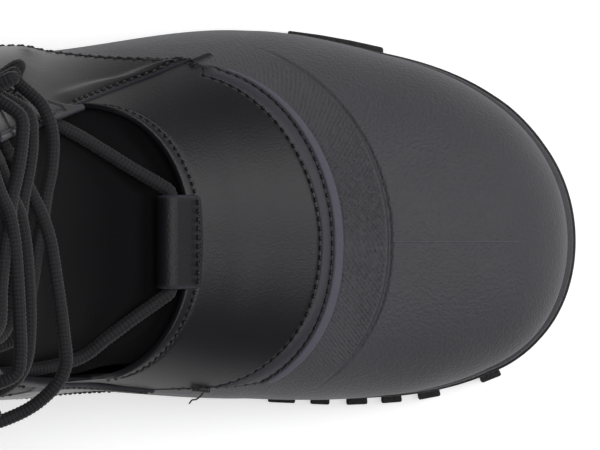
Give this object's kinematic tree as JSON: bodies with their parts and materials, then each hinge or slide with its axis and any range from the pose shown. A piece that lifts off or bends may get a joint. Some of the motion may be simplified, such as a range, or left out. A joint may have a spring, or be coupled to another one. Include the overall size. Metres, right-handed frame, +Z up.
{
  "type": "snow boot",
  "caption": "Left snow boot: a round-toed moulded rubber shell on a lugged sole, with a laced dark leather upper, a dark cloth tongue and a shaft open at the collar.",
  "frame": {"origin": "on the floor, under the middle of the boot's bounding box", "axes": "+X towards the toe, +Y towards the outer (lateral) side of this left boot, +Z up"},
  "size_m": [0.307, 0.1252, 0.2476],
  "materials": {
    "outsole": "matte moulded",
    "shell": "matte, finely pebbled",
    "leather": "satin, finely grained",
    "felt": "brushed felt",
    "cloth": "matte close weave",
    "cord": "braided",
    "metal": "black, semi-gloss"
  },
  "bodies": {
    "root": {"outsole": "outsole", "shell": "shell", "upper": "leather", "insole": "felt", "tongue": "cloth", "lace_vamp": "cord", "lace_cross_1": "cord", "lace_cross_2": "cord", "lace_cross_3": "cord", "eyelet_lateral_1": "metal", "eyelet_medial_1": "metal", "eyelet_lateral_2": "metal", "eyelet_medial_2": "metal", "eyelet_lateral_3": "metal", "eyelet_medial_3": "metal", "eyelet_lateral_4": "metal", "eyelet_medial_4": "metal"}
  },
  "joints": []
}
